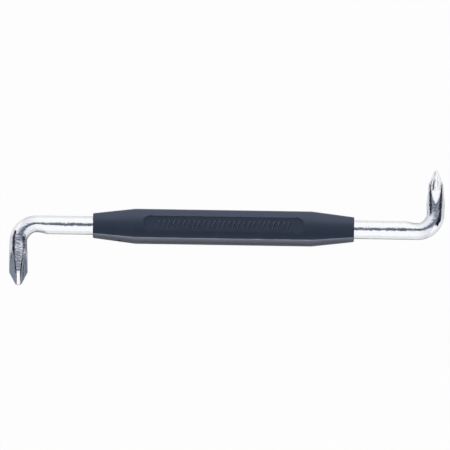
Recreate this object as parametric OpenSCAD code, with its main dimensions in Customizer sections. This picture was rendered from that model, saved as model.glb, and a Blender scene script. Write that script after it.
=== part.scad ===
// Offset screwdriver: a round steel bar bent to a Z, with a cross-recess tip on each bent arm,
// and a plastic handle moulded round the middle of the bar.
// The tool lies flat: the bar runs along X, the left arm points to -Y and the right arm to +Y.
// The origin is under the middle of the bar, on the surface that the handle lies on.

/* [Bar] */
// Length over the outer sides of the two arms
overall_length = 150; // [140:0.5:180]
// Diameter of the bar
bar_d = 6.35; // [5.5:0.05:6.6]
// Reach of each arm, from the bar's axis to the end of its tip
arm_length = 21.2; // [20:0.1:32]
// Radius of the bends, at the bar's axis
bend_radius = 6; // [4.5:0.1:7]
// Depth of the mark that the bending die leaves at the start of each bend
die_mark_depth = 0.6; // [0.2:0.05:0.9]
// Radius of the bending die's edge
die_mark_radius = 4; // [3:0.1:5]

/* [Cross tips] */
// Diameter of the flat at the end of the left tip, a No. 2 point
left_flat_d = 2.1; // [1.8:0.05:2.6]
// Diameter of the flat at the end of the right tip, a No. 1 point
right_flat_d = 1.27; // [1:0.01:1.8]
// Half angle of both tips' cones
tip_half_angle = 26.5; // [24:0.5:30]
// Angle between the two sides of a flute
flute_angle = 118; // [112:1:122]
// Radius from the left tip's axis to the bottom of a flute, at the end of the tip
left_root_radius = 0.85; // [0.75:0.01:0.95]
// Radius from the right tip's axis to the bottom of a flute, at the end of the tip
right_root_radius = 0.5; // [0.42:0.01:0.6]
// Slope of the bottom of a flute against the tip's axis
flute_slope = 9; // [7:0.5:10]
// Length of the straight part of a flute, from the end of the tip
flute_straight = 7.5; // [6:0.1:8]
// Radius of the run-out that the grinding wheel leaves at the end of a flute
flute_wheel_radius = 20; // [14:0.5:21]
// Turn of the left tip's flutes about its arm
left_flute_turn = 45; // [0:1:89]
// Turn of the right tip's flutes about its arm
right_flute_turn = 0; // [0:1:89]

/* [Keying ears] */
// Length of each pinched stretch of the bar inside the handle
ear_length = 8; // [5:0.5:12]
// Width over a pair of ears
ear_span = 8.4; // [7.5:0.1:9]
// Thickness of the ears
ear_thickness = 1.8; // [1.2:0.1:2.4]
// Depth of the two flats that the pinching leaves
pinch_depth = 0.9; // [0.4:0.05:1.1]
// Distance of each pinched stretch from the middle of the handle
ear_distance = 18; // [10:0.5:24]

/* [Handle] */
// Length of the handle
handle_length = 90; // [78:0.5:100]
// Shift of the handle along the bar, from the bar's middle
handle_shift = -1.2; // [-3:0.1:3]
// Width over two opposite crowned faces, in the straight middle
handle_width = 11.3; // [10.6:0.1:13]
// Width over two opposite crowned faces, at the ends
handle_end_width = 7.8; // [7.6:0.1:9.5]
// Length of the taper at each end
taper_length = 14.6; // [8:0.1:20]
// Radius of the crown across each face
crown_radius = 24; // [18:0.5:60]
// Radius of the rounded long edges
edge_radius = 0.3; // [0.2:0.05:0.8]
// Gap between the bar and the plastic moulded round it
mould_gap = 0.02; // [0.01:0.01:0.05]

/* [Panel] */
// Length of the sunk panel in the upper face
panel_length = 55; // [30:0.5:58]
// Width of the sunk panel
panel_width = 5.3; // [3:0.1:6.5]
// Depth of the sunk panel below the crown
panel_depth = 0.5; // [0.3:0.05:0.7]

/* [Hidden] */
$fn = 96;

bar_r = bar_d / 2;
axis_height = handle_width / 2;
arm_x = overall_length / 2 - bar_r;
bend_x = arm_x - bend_radius;
arm_straight = arm_length - bend_radius;
bends_to = 90;
flute_half_width = bar_r * tan(flute_angle / 2);
flute_lead = 1;
flutes = 4;
flute_step = 360 / flutes;
run_out_turn = 90;
ends = [-1, 1];
faces = 4;
face_step = 360 / faces;
straight_length = handle_length - 2 * taper_length;
taper_angle = atan((handle_width - handle_end_width) / 2 / taper_length);
face_reach = 2 * handle_length;

// Distance from the bar's axis to an edge of the crowned square, for a width over its faces
function edge_distance(width) =
    let (centre = width / 2 - crown_radius)
    (centre + sqrt(2 * crown_radius * crown_radius - centre * centre)) / sqrt(2);

// The same distance once the edge is rounded
function rounded_edge(width) = edge_distance(width) - edge_radius * (sqrt(2) - 1);

// Straight stretch of the bar with its pinched ears, larger all round by a gap
module bar_core(length, gap) {
    difference() {
        rotate([0, 90, 0])
            cylinder(r = bar_r + gap, h = length, center = true);
        for (end = ends, side = ends)
            translate([handle_shift + end * ear_distance, 0, side * (bar_r - pinch_depth / 2 + gap)])
                cube([ear_length - 2 * gap, bar_d, pinch_depth], center = true);
    }
    for (end = ends)
        translate([handle_shift + end * ear_distance, 0, 0])
            cube([ear_length + 2 * gap, ear_span + 2 * gap, ear_thickness + 2 * gap], center = true);
}

// Cutter for one flute of a tip along +Z: a V-shaped groove that ends in the wheel's run-out
module flute(root_radius) {
    translate([root_radius, 0, 0])
        rotate([0, flute_slope, 0]) {
            translate([0, 0, -flute_lead])
                linear_extrude(height = flute_lead + flute_straight)
                    polygon([
                        [0, 0],
                        [bar_r, -flute_half_width],
                        [bar_r, flute_half_width]
                    ]);
            translate([flute_wheel_radius, 0, flute_straight])
                rotate([90, 0, 0])
                    rotate([0, 0, run_out_turn])
                        rotate_extrude(angle = run_out_turn)
                            polygon([
                                [flute_wheel_radius - bar_r, -flute_half_width],
                                [flute_wheel_radius, 0],
                                [flute_wheel_radius - bar_r, flute_half_width]
                            ]);
        }
}

// One arm along +Z with the end of its tip at the origin
module tipped_arm(flat_d, root_radius, turn) {
    cone_length = (bar_r - flat_d / 2) / tan(tip_half_angle);
    difference() {
        rotate_extrude()
            polygon([
                [0, 0],
                [flat_d / 2, 0],
                [bar_r, cone_length],
                [bar_r, arm_straight],
                [0, arm_straight]
            ]);
        for (i = [0 : flutes - 1])
            rotate([0, 0, turn + i * flute_step])
                flute(root_radius);
    }
}

// A left bend with its arm: the right one is turned half round about Z
module bent_end(flat_d, root_radius, turn) {
    translate([-bend_x, -bend_radius, 0])
        rotate([0, 0, 90])
            rotate_extrude(angle = bends_to)
                translate([bend_radius, 0])
                    circle(r = bar_r);
    translate([-arm_x, -arm_length, 0])
        rotate([-90, 0, 0])
            tipped_arm(flat_d, root_radius, turn);
}

// Cutter for the die's mark on the inner side of the left bend
module die_mark() {
    translate([-bend_x, die_mark_depth - bar_r - die_mark_radius, 0])
        cylinder(r = die_mark_radius, h = bar_d, center = true);
}

// One crowned face of the handle with its two tapers, facing +Z
module crowned_face() {
    intersection() {
        translate([0, 0, handle_width / 2 - crown_radius])
            rotate([0, 90, 0])
                cylinder(r = crown_radius, h = face_reach, center = true);
        intersection_for (turn = [0, 180])
            rotate([0, 0, turn])
                translate([straight_length / 2, 0, handle_width / 2])
                    rotate([0, taper_angle, 0])
                        translate([0, 0, -crown_radius])
                            rotate([0, 90, 0])
                                cylinder(r = crown_radius, h = face_reach, center = true);
    }
}

// Round envelope that trims the long edges and the ends of the handle
module edge_trim() {
    rotate([0, 90, 0])
        rotate_extrude()
            polygon([
                [0, -handle_length / 2],
                [rounded_edge(handle_end_width), -handle_length / 2],
                [rounded_edge(handle_width), -straight_length / 2],
                [rounded_edge(handle_width), straight_length / 2],
                [rounded_edge(handle_end_width), handle_length / 2],
                [0, handle_length / 2]
            ]);
}

// Cutter for the sunk panel, its floor at the origin
module panel() {
    run = panel_length - panel_width;
    translate([0, 0, panel_width / 2])
        cube([run, panel_width, panel_width], center = true);
    for (end = ends)
        translate([end * run / 2, 0, 0])
            cylinder(d = panel_width, h = panel_width);
}

module blade_bar() {
    color("#c6cad0")
        translate([0, 0, axis_height])
            difference() {
                union() {
                    bar_core(2 * bend_x, 0);
                    bent_end(left_flat_d, left_root_radius, left_flute_turn);
                    rotate([0, 0, 180])
                        bent_end(right_flat_d, right_root_radius, right_flute_turn);
                }
                for (turn = [0, 180])
                    rotate([0, 0, turn])
                        die_mark();
            }
}

module handle() {
    color("#3a414f")
        translate([0, 0, axis_height])
            difference() {
                translate([handle_shift, 0, 0])
                    difference() {
                        intersection() {
                            edge_trim();
                            intersection_for (i = [0 : faces - 1])
                                rotate([i * face_step, 0, 0])
                                    crowned_face();
                        }
                        translate([0, 0, handle_width / 2 - panel_depth])
                            panel();
                    }
                bar_core(2 * bend_x, mould_gap);
            }
}

blade_bar();
handle();
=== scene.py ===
import math

import bmesh
import bpy
from mathutils import Matrix, Vector


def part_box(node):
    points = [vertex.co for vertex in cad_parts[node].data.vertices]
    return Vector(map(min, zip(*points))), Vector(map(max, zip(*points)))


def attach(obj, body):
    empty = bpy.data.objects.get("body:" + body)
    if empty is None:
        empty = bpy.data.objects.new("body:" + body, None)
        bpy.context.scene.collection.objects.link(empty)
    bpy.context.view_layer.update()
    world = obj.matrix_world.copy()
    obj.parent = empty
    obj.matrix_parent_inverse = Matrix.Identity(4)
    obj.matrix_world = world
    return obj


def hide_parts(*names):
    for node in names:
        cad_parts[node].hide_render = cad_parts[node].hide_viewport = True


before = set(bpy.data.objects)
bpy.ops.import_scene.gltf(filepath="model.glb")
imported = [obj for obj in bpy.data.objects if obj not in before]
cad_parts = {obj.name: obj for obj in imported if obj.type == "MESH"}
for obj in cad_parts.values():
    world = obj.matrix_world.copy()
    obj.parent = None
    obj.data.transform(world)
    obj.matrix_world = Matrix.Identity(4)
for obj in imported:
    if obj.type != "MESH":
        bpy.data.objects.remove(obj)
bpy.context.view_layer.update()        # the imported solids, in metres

mm = 0.001
fineWeld = 0.001 * mm     # for cutters and ribs
scene = bpy.context.scene

# sizes that the solids already hold
barLow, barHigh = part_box("blade_bar")
handleLow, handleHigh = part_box("handle")
axisZ = (handleLow.z + handleHigh.z) / 2
barRadius = (barHigh.z - barLow.z) / 2
armX = barHigh.x - barRadius
armReach = barHigh.y
handleMid = (handleLow.x + handleHigh.x) / 2
print("frame loaded, bar", round(2 * barRadius / mm, 3), "mm thick")


# back to object mode with nothing selected
def clearSelection():
    if bpy.context.object and bpy.context.object.mode != "OBJECT":
        bpy.ops.object.mode_set(mode="OBJECT")
    bpy.ops.object.select_all(action="DESELECT")


# name the fresh primitive, put its place in its mesh and open it for editing
def openPiece(name):
    piece = bpy.context.object
    piece.name = name
    piece.data.name = name
    bpy.ops.object.transform_apply(location=True, rotation=True, scale=True)
    bpy.ops.object.mode_set(mode="EDIT")
    bpy.ops.mesh.select_mode(type="VERT")
    return piece


# select the verts, edges or faces that lie wholly where test says
def pick(piece, kind, test):
    bpy.ops.mesh.select_mode(type=kind)
    bpy.ops.mesh.select_all(action="DESELECT")
    shape = bmesh.from_edit_mesh(piece.data)
    for part in {"VERT": shape.verts, "EDGE": shape.edges, "FACE": shape.faces}[kind]:
        points = [part.co] if kind == "VERT" else [v.co for v in part.verts]
        if all(test(p) for p in points):
            part.select_set(True)
    shape.select_flush_mode()
    bmesh.update_edit_mesh(piece.data)


def extrudeBy(step):
    bpy.ops.mesh.extrude_region_move(TRANSFORM_OT_translate={"value": step})


# weld and turn all faces outwards
def closeMesh(weld):
    bpy.ops.mesh.select_all(action="SELECT")
    bpy.ops.mesh.remove_doubles(threshold=weld)
    bpy.ops.mesh.normals_make_consistent(inside=False)
    bpy.ops.object.mode_set(mode="OBJECT")


# make a piece the active one, alone
def takeUp(piece):
    clearSelection()
    bpy.context.view_layer.objects.active = piece
    piece.select_set(True)


# a modifier that is applied straight away
def applyModifier(piece, kind, **settings):
    takeUp(piece)
    modifier = piece.modifiers.new(kind.lower(), kind)
    for name, value in settings.items():
        setattr(modifier, name, value)
    bpy.ops.object.modifier_apply(modifier=modifier.name)


# smooth shading up to an angle; small faces don't bend the shading of the large ones beside them
def smoothCurves(piece, angle):
    smallFace = 0.02 * mm * mm
    takeUp(piece)
    bpy.ops.object.shade_smooth_by_angle(angle=math.radians(angle))
    applyModifier(piece, "WEIGHTED_NORMAL", keep_sharp=True, weight=100, thresh=smallFace)


# cut or join another mesh, which is then removed
def carve(piece, tool, operation):
    applyModifier(piece, "BOOLEAN", object=tool, operation=operation, solver="EXACT")
    bpy.data.meshes.remove(tool.data)


# the bar: each half is swept from the middle through its bend to the tip
bladeSet = {
    "sides": 128,
    "tipHalfAngle": 26.5,
    "bendRadius": 6 * mm,
    "bendSteps": 32,
    "armDraw": 0.945,         # share of its thickness that the bend leaves at the arm's start
    "armRecover": 0.45,       # share of the arm over which it comes back to full thickness
    "dieMark": 0.58 * mm,     # dent that the bending die leaves at the bend's inner side
    "dieReach": 3.6 * mm,
    "dieShift": 0.4 * mm,
    "dieBand": 0.5 * mm,      # half width of the strip that is pushed in
    "dieFrom": 0.8,           # share of the bar's radius below which the strip lies
    "coneRows": 10,
    "armRows": 36,
    "barRows": 80,
    "weld": 0.004 * mm,
}
# a No. 2 point on the left arm, a No. 1 on the right; the left bend goes a degree too far
# root, straight and turn belong to the flutes, and half turns the swept half to its end of the bar
tipSet = {
    "left": {"flat": 2.1 * mm, "root": 0.85 * mm, "rootRound": 0.08 * mm, "straight": 9 * mm, "turn": 45,
             "bend": 91.2, "half": 0},
    "right": {"flat": 1.27 * mm, "root": 0.5 * mm, "rootRound": 0.15 * mm, "straight": 7.5 * mm, "turn": 0,
              "bend": 90, "half": math.pi},
}


def smoothStep(t):
    t = min(max(t, 0), 1)
    return t * t * (3 - 2 * t)


# where a left-hand arm ends, how far past square it points, and how long it is straight
def armEnd(tip):
    radius = bladeSet["bendRadius"]
    over = math.radians(tip["bend"] - 90)
    reach = armReach - tip["flat"] / 2 * math.sin(over)
    straight = (reach - radius * (1 + math.sin(over))) / math.cos(over)
    x = radius - armX - radius * math.cos(over) + straight * math.sin(over)
    return Vector((x, -reach, axisZ)), over, straight


# scale the ring that is being drawn out about its own middle
def sizeRing(middle, ratio):
    bpy.ops.transform.resize(value=(ratio,) * 3, center_override=middle)


def sweepHalf(piece, tip):
    s = bladeSet
    radius = s["bendRadius"]
    bendX = armX - radius
    end, over, straight = armEnd(tip)
    bpy.ops.mesh.select_all(action="DESELECT")
    bpy.ops.mesh.primitive_circle_add(vertices=s["sides"], radius=barRadius, fill_type="NOTHING",
                                      location=(0, 0, axisZ), rotation=(0, math.pi / 2, 0))
    for row in range(s["barRows"]):
        extrudeBy((-bendX / s["barRows"], 0, 0))
    # the bend, ring by ring, drawing thinner on the way
    drawn = 1
    turn = math.radians(tip["bend"]) / s["bendSteps"]
    for step in range(s["bendSteps"]):
        extrudeBy((0, 0, 0))
        bpy.ops.transform.rotate(value=-turn, orient_axis="Z", center_override=(-bendX, -radius, axisZ))
        angle = (step + 1) * turn
        thin = 1 - (1 - s["armDraw"]) * smoothStep((step + 1) / s["bendSteps"])
        sizeRing((-bendX - radius * math.sin(angle), radius * math.cos(angle) - radius, axisZ), thin / drawn)
        drawn = thin
    # the arm, back to full thickness, then the cone
    tipRadius = tip["flat"] / 2
    coneLength = (barRadius - tipRadius) / math.tan(math.radians(s["tipHalfAngle"]))
    along = Vector((math.sin(over), -math.cos(over), 0))
    middle = end - straight * along
    step = (straight - coneLength) / s["armRows"]
    for row in range(s["armRows"]):
        extrudeBy(step * along)
        middle += step * along
        thin = 1 - (1 - s["armDraw"]) * (1 - smoothStep((row + 1) / s["armRows"] / s["armRecover"]))
        sizeRing(middle, thin / drawn)
        drawn = thin
    step = coneLength / s["coneRows"]
    ring = barRadius
    for row in range(s["coneRows"]):
        extrudeBy(step * along)
        middle += step * along
        grown = barRadius + (tipRadius - barRadius) * (row + 1) / s["coneRows"]
        sizeRing(middle, grown / ring)
        ring = grown
    bpy.ops.mesh.edge_face_add()
    # the die's dent on the inner side of the bend
    dentX = s["dieShift"] - bendX
    pick(piece, "VERT", lambda p: abs(p.x - dentX) < s["dieBand"]
         and -barRadius - mm < p.y < -s["dieFrom"] * barRadius)
    bpy.ops.transform.translate(value=(0, s["dieMark"], 0), use_proportional_edit=True,
                                proportional_edit_falloff="SMOOTH", proportional_size=s["dieReach"])


def makeBladeBar():
    clearSelection()
    bpy.ops.mesh.primitive_plane_add(size=mm)
    piece = openPiece("bladeBar")
    bpy.ops.mesh.select_all(action="SELECT")
    bpy.ops.mesh.delete(type="VERT")
    sweepHalf(piece, tipSet["right"])
    bpy.ops.mesh.select_all(action="SELECT")
    bpy.ops.transform.rotate(value=tipSet["right"]["half"], orient_axis="Z", center_override=(0, 0, axisZ))
    sweepHalf(piece, tipSet["left"])
    closeMesh(bladeSet["weld"])
    return piece


# a V-shaped groove of a tip: a straight run, then the run-out that the grinding wheel leaves
fluteSet = {
    "angle": 118,
    "slope": 9,
    "wheelRadius": 20 * mm,
    "height": 3.4 * mm,
    "lead": 1 * mm,     # how far off the tip's end the cutter starts
    "runOut": 32,       # degrees of the wheel
    "runOutSteps": 60,
    "rootSteps": 4,
    "count": 4,
}


def makeFlute(tip, flute):
    s = fluteSet
    root = tip["root"]
    across = s["height"] * 2 / 3     # a triangle's circle, for its height
    clearSelection()
    bpy.ops.mesh.primitive_circle_add(vertices=3, radius=across, fill_type="NGON",
                                      location=(0, -s["lead"], root + across), rotation=(-math.pi / 2, 0, 0))
    piece = openPiece("fluteCutter")
    bpy.ops.mesh.select_all(action="SELECT")
    widen = math.tan(math.radians(s["angle"] / 2)) / math.tan(math.radians(30))
    bpy.ops.transform.resize(value=(widen, 1, 1), center_override=(0, 0, root))
    extrudeBy((0, s["lead"] + tip["straight"], 0))
    bpy.ops.mesh.spin(steps=s["runOutSteps"], angle=-math.radians(s["runOut"]),
                      center=(0, tip["straight"], root + s["wheelRadius"]), axis=(1, 0, 0))
    bpy.ops.mesh.select_all(action="SELECT")
    bpy.ops.mesh.remove_doubles(threshold=fineWeld)
    pick(piece, "EDGE", lambda p: abs(p.x) < fineWeld)     # the bottom of the groove
    bpy.ops.mesh.bevel(offset=tip["rootRound"], segments=s["rootSteps"], affect="EDGES")
    bpy.ops.mesh.select_all(action="SELECT")
    bpy.ops.transform.rotate(value=-math.radians(s["slope"]), orient_axis="X", center_override=(0, 0, root))
    turn = math.radians(tip["turn"]) + 2 * math.pi * flute / s["count"]
    bpy.ops.transform.rotate(value=turn, orient_axis="Y", center_override=(0, 0, 0))
    # out to the arm's end
    end, over, straight = armEnd(tip)
    bpy.ops.transform.rotate(value=-over, orient_axis="Z", center_override=(0, 0, 0))
    bpy.ops.transform.translate(value=end)
    bpy.ops.transform.rotate(value=tip["half"], orient_axis="Z", center_override=(0, 0, 0))
    closeMesh(fineWeld)
    return piece


wingSet = {"edge": 0.06 * mm, "edgeSteps": 2, "sharp": 28}

bladeBar = makeBladeBar()
for tip in tipSet.values():
    for flute in range(fluteSet["count"]):
        carve(bladeBar, makeFlute(tip, flute), "DIFFERENCE")
applyModifier(bladeBar, "BEVEL", width=wingSet["edge"], segments=wingSet["edgeSteps"], limit_method="ANGLE",
              angle_limit=math.radians(wingSet["sharp"]))
smoothCurves(bladeBar, wingSet["sharp"])
print("bar:", len(bladeBar.data.polygons), "faces")


# the handle: outlines at the ends and shoulders, bridged, with the bore through it
handleSet = {
    "width": handleHigh.z - handleLow.z,
    "endWidth": 7.8 * mm,
    "taper": 14.6 * mm,
    "crown": 24 * mm,
    "edge": 0.3 * mm,
    "crownSteps": 16,
    "edgeSteps": 6,
    "middleCuts": 48,
    "taperCuts": 8,
    "gap": 0.02 * mm,
    "shoulderRound": 0.7 * mm,
    "rimRound": 0.35 * mm,
    "roundSteps": 3,
    "mouthRound": 0.12 * mm,
    "mouthSteps": 2,
    "seamHalf": 0.13 * mm,
    "seamProud": 0.05 * mm,
    "seamSteps": 2,
    "skinFrom": 0.2 * mm,     # what lies farther off the bore than this is the outside
    "weld": 0.002 * mm,
    "sharp": 32,
}


# one crowned square outline, drawn as arcs from a single vertex
def drawOutline(x, width):
    s = handleSet
    sink = s["crown"] - width / 2
    inner = s["crown"] - s["edge"]
    cornerAt = (math.sqrt(2 * inner * inner - sink * sink) - sink) / 2
    half = math.atan2(cornerAt, cornerAt + sink)
    start = Vector((x, -s["crown"] * math.sin(half), axisZ - sink + s["crown"] * math.cos(half)))
    bpy.ops.mesh.select_all(action="DESELECT")
    bpy.ops.mesh.primitive_plane_add(size=mm, location=start)
    bpy.ops.mesh.merge(type="CENTER")
    sides = [Vector((0, 0, 1)), Vector((0, 1, 0)), Vector((0, 0, -1)), Vector((0, -1, 0))]
    middle = Vector((x, 0, axisZ))
    for i, out in enumerate(sides):
        after = sides[(i + 1) % len(sides)]
        bpy.ops.mesh.spin(steps=s["crownSteps"], angle=2 * half, center=middle - sink * out, axis=(1, 0, 0))
        bpy.ops.mesh.spin(steps=s["edgeSteps"], angle=math.pi / 2 - 2 * half,
                          center=middle + cornerAt * (out + after), axis=(1, 0, 0))


def offAxis(p):
    return math.hypot(p.y, p.z - axisZ)


def makeHandle():
    s = handleSet
    boreRadius = barRadius + s["gap"]
    skinRadius = boreRadius + s["skinFrom"]
    ends = [handleLow.x, handleHigh.x]
    shoulders = [handleLow.x + s["taper"], handleHigh.x - s["taper"]]
    near = s["weld"]
    clearSelection()
    bpy.ops.mesh.primitive_plane_add(size=mm)
    piece = openPiece("handleGrip")
    bpy.ops.mesh.select_all(action="SELECT")
    bpy.ops.mesh.delete(type="VERT")
    for x, width in ((ends[0], s["endWidth"]), (shoulders[0], s["width"]),
                     (shoulders[1], s["width"]), (ends[1], s["endWidth"])):
        drawOutline(x, width)
    bpy.ops.mesh.select_all(action="SELECT")
    bpy.ops.mesh.remove_doubles(threshold=near)
    for left, right, cuts in ((ends[0], shoulders[0], s["taperCuts"]),
                              (shoulders[0], shoulders[1], s["middleCuts"]),
                              (shoulders[1], ends[1], s["taperCuts"])):
        pick(piece, "EDGE", lambda p: min(abs(p.x - left), abs(p.x - right)) < near)
        bpy.ops.mesh.bridge_edge_loops(number_cuts=cuts, interpolation="LINEAR")
    count = 4 * (s["crownSteps"] + s["edgeSteps"])     # as many points as an outline has
    for x in ends:
        bpy.ops.mesh.primitive_circle_add(vertices=count, radius=boreRadius, fill_type="NOTHING",
                                          location=(x, 0, axisZ), rotation=(0, math.pi / 2, 0))
        pick(piece, "EDGE", lambda p: abs(p.x - x) < near)
        bpy.ops.mesh.bridge_edge_loops()
    pick(piece, "EDGE", lambda p: offAxis(p) < boreRadius + near and min(abs(p.x - e) for e in ends) < near)
    bpy.ops.mesh.bridge_edge_loops()
    # soften the shoulders, the end rims and the mouths of the bore
    for x in shoulders:
        pick(piece, "EDGE", lambda p: abs(p.x - x) < near and offAxis(p) > skinRadius)
        bpy.ops.mesh.bevel(offset=s["shoulderRound"], segments=s["roundSteps"], affect="EDGES")
    for x in ends:
        pick(piece, "EDGE", lambda p: abs(p.x - x) < near and offAxis(p) > skinRadius)
        bpy.ops.mesh.bevel(offset=s["rimRound"], segments=s["roundSteps"], affect="EDGES")
        pick(piece, "EDGE", lambda p: abs(p.x - x) < near and offAxis(p) < boreRadius + near)
        bpy.ops.mesh.bevel(offset=s["mouthRound"], segments=s["mouthSteps"], affect="EDGES")
    # the mould's parting line, a fine ridge half way up the front and back
    pick(piece, "EDGE", lambda p: abs(p.z - axisZ) < near and abs(p.y) > skinRadius)
    bpy.ops.mesh.bevel(offset=s["seamHalf"], segments=s["seamSteps"], affect="EDGES")
    for side in (-1, 1):
        pick(piece, "VERT", lambda p: abs(p.z - axisZ) < near and side * p.y > skinRadius)
        bpy.ops.transform.translate(value=(0, side * s["seamProud"], 0))
    closeMesh(near)
    return piece


# the sunk panel in the upper face, and plain slanted ribs standing in it
panelSet = {
    "length": 55 * mm,
    "width": 5.3 * mm,
    "depth": 0.5 * mm,
    "endSteps": 20,
    "rim": 0.07 * mm,
    "rimSteps": 2,
    "rimAngle": 50,
}
ribSet = {
    "count": 27,
    "pitch": 1.72 * mm,
    "width": 0.82 * mm,
    "length": 3 * mm,
    "lean": 1.1 * mm,
    "proud": 0.36 * mm,
    "sunk": 0.1 * mm,
    "round": 0.35 * mm,
    "roundSteps": 4,
}


def makePanelCutter():
    s = panelSet
    floorZ = handleHigh.z - s["depth"]
    clearSelection()
    bpy.ops.mesh.primitive_cube_add(size=1, location=(handleMid, 0, floorZ + s["width"] / 2),
                                    scale=(s["length"], s["width"], s["width"]))
    piece = openPiece("panelCutter")
    bpy.ops.mesh.select_mode(type="EDGE")
    shape = bmesh.from_edit_mesh(piece.data)
    for edge in shape.edges:
        edge.select_set(abs(edge.verts[0].co.z - edge.verts[1].co.z) > s["width"] / 2)
    bmesh.update_edit_mesh(piece.data)
    bpy.ops.mesh.bevel(offset=s["width"] / 2, segments=s["endSteps"], affect="EDGES")
    closeMesh(fineWeld)
    return piece


def makeRibs():
    s = ribSet
    floorZ = handleHigh.z - panelSet["depth"]
    height = s["proud"] + s["sunk"]
    firstX = handleMid - s["pitch"] * (s["count"] - 1) / 2
    clearSelection()
    bpy.ops.mesh.primitive_cube_add(size=1, location=(firstX, 0, floorZ + height / 2 - s["sunk"]),
                                    scale=(s["width"], s["length"], height))
    piece = openPiece("panelRibs")
    pick(piece, "EDGE", lambda p: p.z > floorZ)
    bpy.ops.mesh.bevel(offset=s["round"], segments=s["roundSteps"], affect="EDGES")
    pick(piece, "VERT", lambda p: p.y > 0)
    bpy.ops.transform.translate(value=(s["lean"], 0, 0))
    bpy.ops.mesh.select_all(action="SELECT")
    bpy.ops.transform.translate(value=(-s["lean"] / 2, 0, 0))
    for rib in range(s["count"] - 1):
        bpy.ops.mesh.duplicate()
        bpy.ops.transform.translate(value=(s["pitch"], 0, 0))
    closeMesh(fineWeld)
    return piece


# the scar of the mould's gate, an oval dimple on the front of the left taper
gateSet = {"x": -37 * mm, "drop": 0.7 * mm, "radius": 0.65 * mm, "stretch": 1.7, "depth": 1.5 * mm}


def makeGateCutter():
    s = gateSet
    t = (s["x"] - handleLow.x) / handleSet["taper"]
    halfWidth = (handleSet["endWidth"] + (handleSet["width"] - handleSet["endWidth"]) * t) / 2
    clearSelection()
    bpy.ops.mesh.primitive_cylinder_add(vertices=40, radius=s["radius"], depth=2 * s["depth"],
                                        location=(s["x"], -halfWidth, axisZ - s["drop"]),
                                        rotation=(math.pi / 2, 0, 0))
    piece = openPiece("gateCutter")
    bpy.ops.mesh.select_all(action="SELECT")
    bpy.ops.transform.resize(value=(1, 1, s["stretch"]), center_override=(0, 0, axisZ - s["drop"]))
    closeMesh(fineWeld)
    return piece


handleGrip = makeHandle()
carve(handleGrip, makePanelCutter(), "DIFFERENCE")
carve(handleGrip, makeGateCutter(), "DIFFERENCE")
carve(handleGrip, makeRibs(), "UNION")
applyModifier(handleGrip, "BEVEL", width=panelSet["rim"], segments=panelSet["rimSteps"], limit_method="ANGLE",
              angle_limit=math.radians(panelSet["rimAngle"]))
smoothCurves(handleGrip, handleSet["sharp"])
print("handle:", len(handleGrip.data.polygons), "faces")


# sRGB hex to linear colour
def hexColour(text):
    channels = [int(text[i:i + 2], 16) / 255 for i in (1, 3, 5)]
    linear = [c / 12.92 if c <= 0.04045 else ((c + 0.055) / 1.055) ** 2.4 for c in channels]
    return (*linear, 1)


# a node with its settings, and its inputs as values or links
def addNode(tree, kind, inputs, **settings):
    node = tree.nodes.new(kind)
    for name, value in settings.items():
        setattr(node, name, value)
    for name, value in inputs.items():
        if isinstance(value, bpy.types.NodeSocket):
            tree.links.new(value, node.inputs[name])
        else:
            node.inputs[name].default_value = value
    return node


def newMaterial(name):
    material = bpy.data.materials.new(name)
    material.use_nodes = True
    material.node_tree.nodes.clear()
    return material, material.node_tree


# nickel-chrome plated tool steel: bright on the drawn bar and the ground flutes, satin on the blasted arms
steelSet = {
    "bright": "#e6e7ea", "satin": "#d3d6dd",
    "brightRough": 0.08, "satinRough": 0.2,
    "blastFrom": 64 * mm, "blastTo": 70 * mm,     # from the bar's middle
    "groundTo": 0.86, "skinFrom": 0.92,           # from the arm's axis, as shares of the bar's radius
    "skinSize": 0.8 * mm,                         # coarser than real, so that it shows
    "lineWidth": 0.5 * mm, "lineShrink": 0.06,    # coarser than real too, and long in the arm's direction
    "lineFray": 0.5, "skinFray": 0.8, "relief": 0.12 * mm,
}


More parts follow.
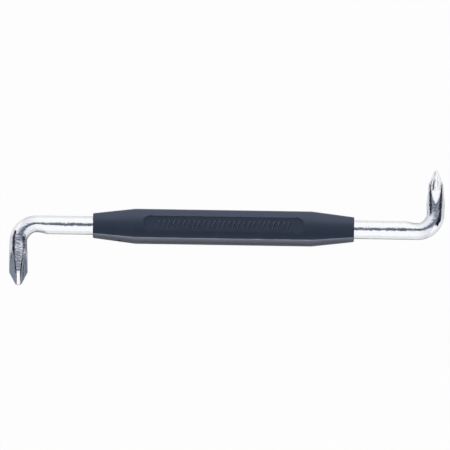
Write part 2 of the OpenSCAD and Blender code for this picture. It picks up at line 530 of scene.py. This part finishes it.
def platedSteel():
    s = steelSet
    material, tree = newMaterial("nickelChromePlatedSteel")
    place = addNode(tree, "ShaderNodeTexCoord", {}).outputs["Object"]
    axes = addNode(tree, "ShaderNodeSeparateXYZ", {"Vector": place})
    fromMiddle = addNode(tree, "ShaderNodeMath", {0: axes.outputs["X"]}, operation="ABSOLUTE")
    blasted = addNode(tree, "ShaderNodeMapRange", {"Value": fromMiddle.outputs[0], "From Min": s["blastFrom"],
                                                   "From Max": s["blastTo"]}, interpolation_type="SMOOTHSTEP")
    # the flutes and cones lie nearer to the arm's axis than the skin of the arm
    beside = addNode(tree, "ShaderNodeMath", {0: fromMiddle.outputs[0], 1: armX}, operation="SUBTRACT")
    above = addNode(tree, "ShaderNodeMath", {0: axes.outputs["Z"], 1: axisZ}, operation="SUBTRACT")
    spoke = addNode(tree, "ShaderNodeCombineXYZ", {"X": beside.outputs[0], "Y": above.outputs[0]})
    depth = addNode(tree, "ShaderNodeVectorMath", {0: spoke.outputs[0]}, operation="LENGTH")
    unground = addNode(tree, "ShaderNodeMapRange", {"Value": depth.outputs["Value"],
                                                    "From Min": s["groundTo"] * barRadius,
                                                    "From Max": s["skinFrom"] * barRadius},
                       interpolation_type="SMOOTHSTEP")
    satin = addNode(tree, "ShaderNodeMath", {0: blasted.outputs[0], 1: unground.outputs[0]}, operation="MULTIPLY")
    # unevenness of the steel under the plating, and grinding lines along the flutes, which fray the reflections
    skin = addNode(tree, "ShaderNodeTexNoise", {"Vector": place, "Scale": 1 / s["skinSize"], "Detail": 2})
    along = addNode(tree, "ShaderNodeVectorMath", {0: place, 1: (1, s["lineShrink"], 1)}, operation="MULTIPLY")
    lines = addNode(tree, "ShaderNodeTexNoise", {"Vector": along.outputs[0], "Scale": 1 / s["lineWidth"],
                                                 "Detail": 1})
    relief = addNode(tree, "ShaderNodeMix", {0: unground.outputs[0], 2: lines.outputs["Fac"],
                                             3: skin.outputs["Fac"]})
    fray = addNode(tree, "ShaderNodeMapRange", {"Value": unground.outputs[0], "To Min": s["lineFray"],
                                                "To Max": s["skinFray"]})
    bump = addNode(tree, "ShaderNodeBump", {"Strength": fray.outputs[0], "Distance": s["relief"],
                                            "Height": relief.outputs[0]})
    rough = addNode(tree, "ShaderNodeMapRange", {"Value": satin.outputs[0], "To Min": s["brightRough"],
                                                 "To Max": s["satinRough"]})
    colour = addNode(tree, "ShaderNodeMix", {0: satin.outputs[0], 6: hexColour(s["bright"]),
                                             7: hexColour(s["satin"])}, data_type="RGBA")
    shader = addNode(tree, "ShaderNodeBsdfPrincipled", {"Base Color": colour.outputs[2], "Metallic": 1,
                                                        "Roughness": rough.outputs[0],
                                                        "Normal": bump.outputs[0]})
    addNode(tree, "ShaderNodeOutputMaterial", {"Surface": shader.outputs[0]})
    return material


# ABS moulded in a spark-eroded tool: blue-black, a fine satin skin, a bluish sheen, edges painted paler as a
# highlight and wear
plasticSet = {
    "base": "#29313c", "rubbedAndHighlight": "#a8b0c2", "sheen": "#d2dcff",
    "ior": 1.57, "specular": 0.8,
    "lowRough": 0.2, "highRough": 0.26,
    "edgeFrom": 0.92, "edgeTo": 0.99,                # 1 is the corner of the square
    "grain": 0.4 * mm, "grainHeight": 0.02 * mm,     # coarser than real, so that it shows
    "grainStrength": 0.2,
    "wearPatch": 6 * mm, "wearLow": 0.3, "wearHigh": 0.7,
}


def mouldedPlastic():
    s = plasticSet
    material, tree = newMaterial("mouldedAbs")
    place = addNode(tree, "ShaderNodeTexCoord", {}).outputs["Object"]
    axes = addNode(tree, "ShaderNodeSeparateXYZ", {"Vector": place})
    across = addNode(tree, "ShaderNodeMath", {0: axes.outputs["Y"]}, operation="ABSOLUTE").outputs[0]
    height = addNode(tree, "ShaderNodeMath", {0: axes.outputs["Z"], 1: axisZ}, operation="SUBTRACT")
    height = addNode(tree, "ShaderNodeMath", {0: height.outputs[0]}, operation="ABSOLUTE").outputs[0]
    small = addNode(tree, "ShaderNodeMath", {0: across, 1: height}, operation="MINIMUM")
    large = addNode(tree, "ShaderNodeMath", {0: across, 1: height}, operation="MAXIMUM")
    corner = addNode(tree, "ShaderNodeMath", {0: small.outputs[0], 1: large.outputs[0]}, operation="DIVIDE")
    grain = addNode(tree, "ShaderNodeTexNoise", {"Vector": place, "Scale": 1 / s["grain"], "Detail": 2})
    wear = addNode(tree, "ShaderNodeTexNoise", {"Vector": place, "Scale": 1 / s["wearPatch"], "Detail": 3})
    # the colour turns paler near the four long edges: a painted highlight line, made patchy like rubbing wear
    rubbedAndHighlight = addNode(tree, "ShaderNodeMapRange", {"Value": corner.outputs[0], "From Min": s["edgeFrom"],
                                                  "From Max": s["edgeTo"], "To Max": wear.outputs["Fac"]},
                     interpolation_type="SMOOTHSTEP")
    colour = addNode(tree, "ShaderNodeMix", {0: rubbedAndHighlight.outputs[0], 6: hexColour(s["base"]),
                                             7: hexColour(s["rubbedAndHighlight"])}, data_type="RGBA")
    bump = addNode(tree, "ShaderNodeBump", {"Strength": s["grainStrength"], "Distance": s["grainHeight"],
                                            "Height": grain.outputs["Fac"]})
    rough = addNode(tree, "ShaderNodeMapRange", {"Value": wear.outputs["Fac"], "From Min": s["wearLow"],
                                                 "From Max": s["wearHigh"], "To Min": s["lowRough"],
                                                 "To Max": s["highRough"]})
    shader = addNode(tree, "ShaderNodeBsdfPrincipled", {"Base Color": colour.outputs[2], "IOR": s["ior"],
                                                        "Specular IOR Level": s["specular"],
                                                        "Specular Tint": hexColour(s["sheen"]),
                                                        "Roughness": rough.outputs[0],
                                                        "Normal": bump.outputs[0]})
    addNode(tree, "ShaderNodeOutputMaterial", {"Surface": shader.outputs[0]})
    return material


def dress(piece, material, body, node):
    piece.data.materials.clear()
    piece.data.materials.append(material)
    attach(piece, body)
    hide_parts(node)


dress(bladeBar, platedSteel(), "root", "blade_bar")
dress(handleGrip, mouldedPlastic(), "root", "handle")
print("materials set")


# white floor, lit evenly: camera and mirror rays see it nearly white, with the tool's shadow left
floorSet = {
    "size": 8,
    "drop": 0.02 * mm,
    "colour": "#bebebe",
    "glow": 0.975,
    "shadeReach": 8 * mm,     # how near to the tool the mirrored floor darkens
    "shadeFrom": 0.72,
}


def makeFloor():
    clearSelection()
    bpy.ops.mesh.primitive_plane_add(size=floorSet["size"], location=(0, 0, -floorSet["drop"]))
    floor = bpy.context.object
    floor.name = "studioFloor"
    material, tree = newMaterial("paleCard")
    light = addNode(tree, "ShaderNodeLightPath", {})
    shade = addNode(tree, "ShaderNodeAmbientOcclusion", {"Distance": floorSet["shadeReach"]})
    clear = addNode(tree, "ShaderNodeMapRange", {"Value": shade.outputs["AO"], "From Min": floorSet["shadeFrom"]},
                    interpolation_type="SMOOTHSTEP")
    mirrored = addNode(tree, "ShaderNodeMath", {0: light.outputs["Is Glossy Ray"], 1: clear.outputs[0]},
                       operation="MULTIPLY")
    seen = addNode(tree, "ShaderNodeMath", {0: light.outputs["Is Camera Ray"], 1: mirrored.outputs[0]},
                   operation="MAXIMUM")
    seen = addNode(tree, "ShaderNodeMath", {0: seen.outputs[0], 1: light.outputs["Is Transmission Ray"]},
                   operation="MAXIMUM")
    share = addNode(tree, "ShaderNodeMath", {0: seen.outputs[0], 1: floorSet["glow"]}, operation="MULTIPLY")
    card = addNode(tree, "ShaderNodeBsdfDiffuse", {"Color": hexColour(floorSet["colour"])})
    glow = addNode(tree, "ShaderNodeEmission", {"Strength": 1})
    mixed = addNode(tree, "ShaderNodeMixShader", {0: share.outputs[0], 1: card.outputs[0], 2: glow.outputs[0]})
    addNode(tree, "ShaderNodeOutputMaterial", {"Surface": mixed.outputs[0]})
    floor.data.materials.append(material)


# a white tent round the tool, with the dark slot that the camera looks through and dark cards at both ends
tentSet = {
    "strength": 1.2,
    "overhead": {     # sizes in metres, edges in degrees off straight up
        "cameraSlot": {"height": 1.6, "length": 8, "low": -18, "high": 19, "colour": "#8a91a0"},
        "cameraRig": {"height": 1.5, "length": 1.2, "low": -10, "high": 4, "colour": "#5a5f6b"},
    },
    "ends": {
        "leftCard": {"x": -0.5, "front": -0.19, "back": 0.3},
        "rightCard": {"x": 0.5, "front": -0.19, "back": 0.235},
    },
    "cardLow": 0.02,
    "cardHigh": 0.48,
    "cardColour": "#232a37",
}


def makeCard(name, location, size, rotation, colour):
    clearSelection()
    bpy.ops.mesh.primitive_plane_add(size=1, location=location, rotation=rotation)
    card = bpy.context.object
    card.name = name
    card.scale = (size[0], size[1], 1)
    material, tree = newMaterial(name)
    shade = addNode(tree, "ShaderNodeEmission", {"Color": hexColour(colour), "Strength": 1})
    addNode(tree, "ShaderNodeOutputMaterial", {"Surface": shade.outputs[0]})
    card.data.materials.append(material)
    card.visible_camera = False
    card.visible_shadow = False


def makeTent():
    s = tentSet
    world = bpy.data.worlds.new("whiteTent")
    world.use_nodes = True
    scene.world = world
    world.node_tree.nodes["Background"].inputs["Color"].default_value = (1, 1, 1, 1)
    world.node_tree.nodes["Background"].inputs["Strength"].default_value = s["strength"]
    for name, card in s["overhead"].items():
        low = card["height"] * math.tan(math.radians(card["low"]))
        high = card["height"] * math.tan(math.radians(card["high"]))
        makeCard(name, (0, (low + high) / 2, card["height"]), (card["length"], high - low), (0, 0, 0),
                 card["colour"])
    low, high = s["cardLow"], s["cardHigh"]
    for name, card in s["ends"].items():
        makeCard(name, (card["x"], (card["front"] + card["back"]) / 2, (low + high) / 2),
                 (high - low, card["back"] - card["front"]), (0, math.pi / 2, 0), s["cardColour"])


makeFloor()
makeTent()
print("floor and light set")

# long lens, nearly overhead, set by where the bar lies in the photograph
cameraSet = {
    "imageSide": 450,
    "mmPerPixel": 0.3447,
    "barCentre": (227.0, 227.7),     # photograph pixels
    "elevation": 78,
    "tilt": 0.9,                     # right end lower, degrees
    "lens": 1000,
    "sensor": 36,
}


def makeCamera():
    s = cameraSet
    frameWidth = s["imageSide"] * s["mmPerPixel"] * mm
    distance = frameWidth * s["lens"] / s["sensor"]
    up = math.radians(s["elevation"])
    back = Vector((0, -math.cos(up), math.sin(up)))
    data = bpy.data.cameras.new("photoCamera")
    data.lens = s["lens"]
    data.sensor_width = s["sensor"]
    camera = bpy.data.objects.new("photoCamera", data)
    scene.collection.objects.link(camera)
    turn = (-back).to_track_quat("-Z", "Y").to_matrix() @ Matrix.Rotation(math.radians(s["tilt"]), 3, "Z")
    right, above = turn.col[0], turn.col[1]
    shiftX = (s["barCentre"][0] - s["imageSide"] / 2) * s["mmPerPixel"] * mm
    shiftY = (s["imageSide"] / 2 - s["barCentre"][1]) * s["mmPerPixel"] * mm
    aim = Vector((0, 0, axisZ)) - shiftX * right - shiftY * above
    camera.matrix_world = Matrix.Translation(aim + distance * back) @ turn.to_4x4()
    scene.camera = camera


makeCamera()
scene.view_settings.view_transform = "Standard"
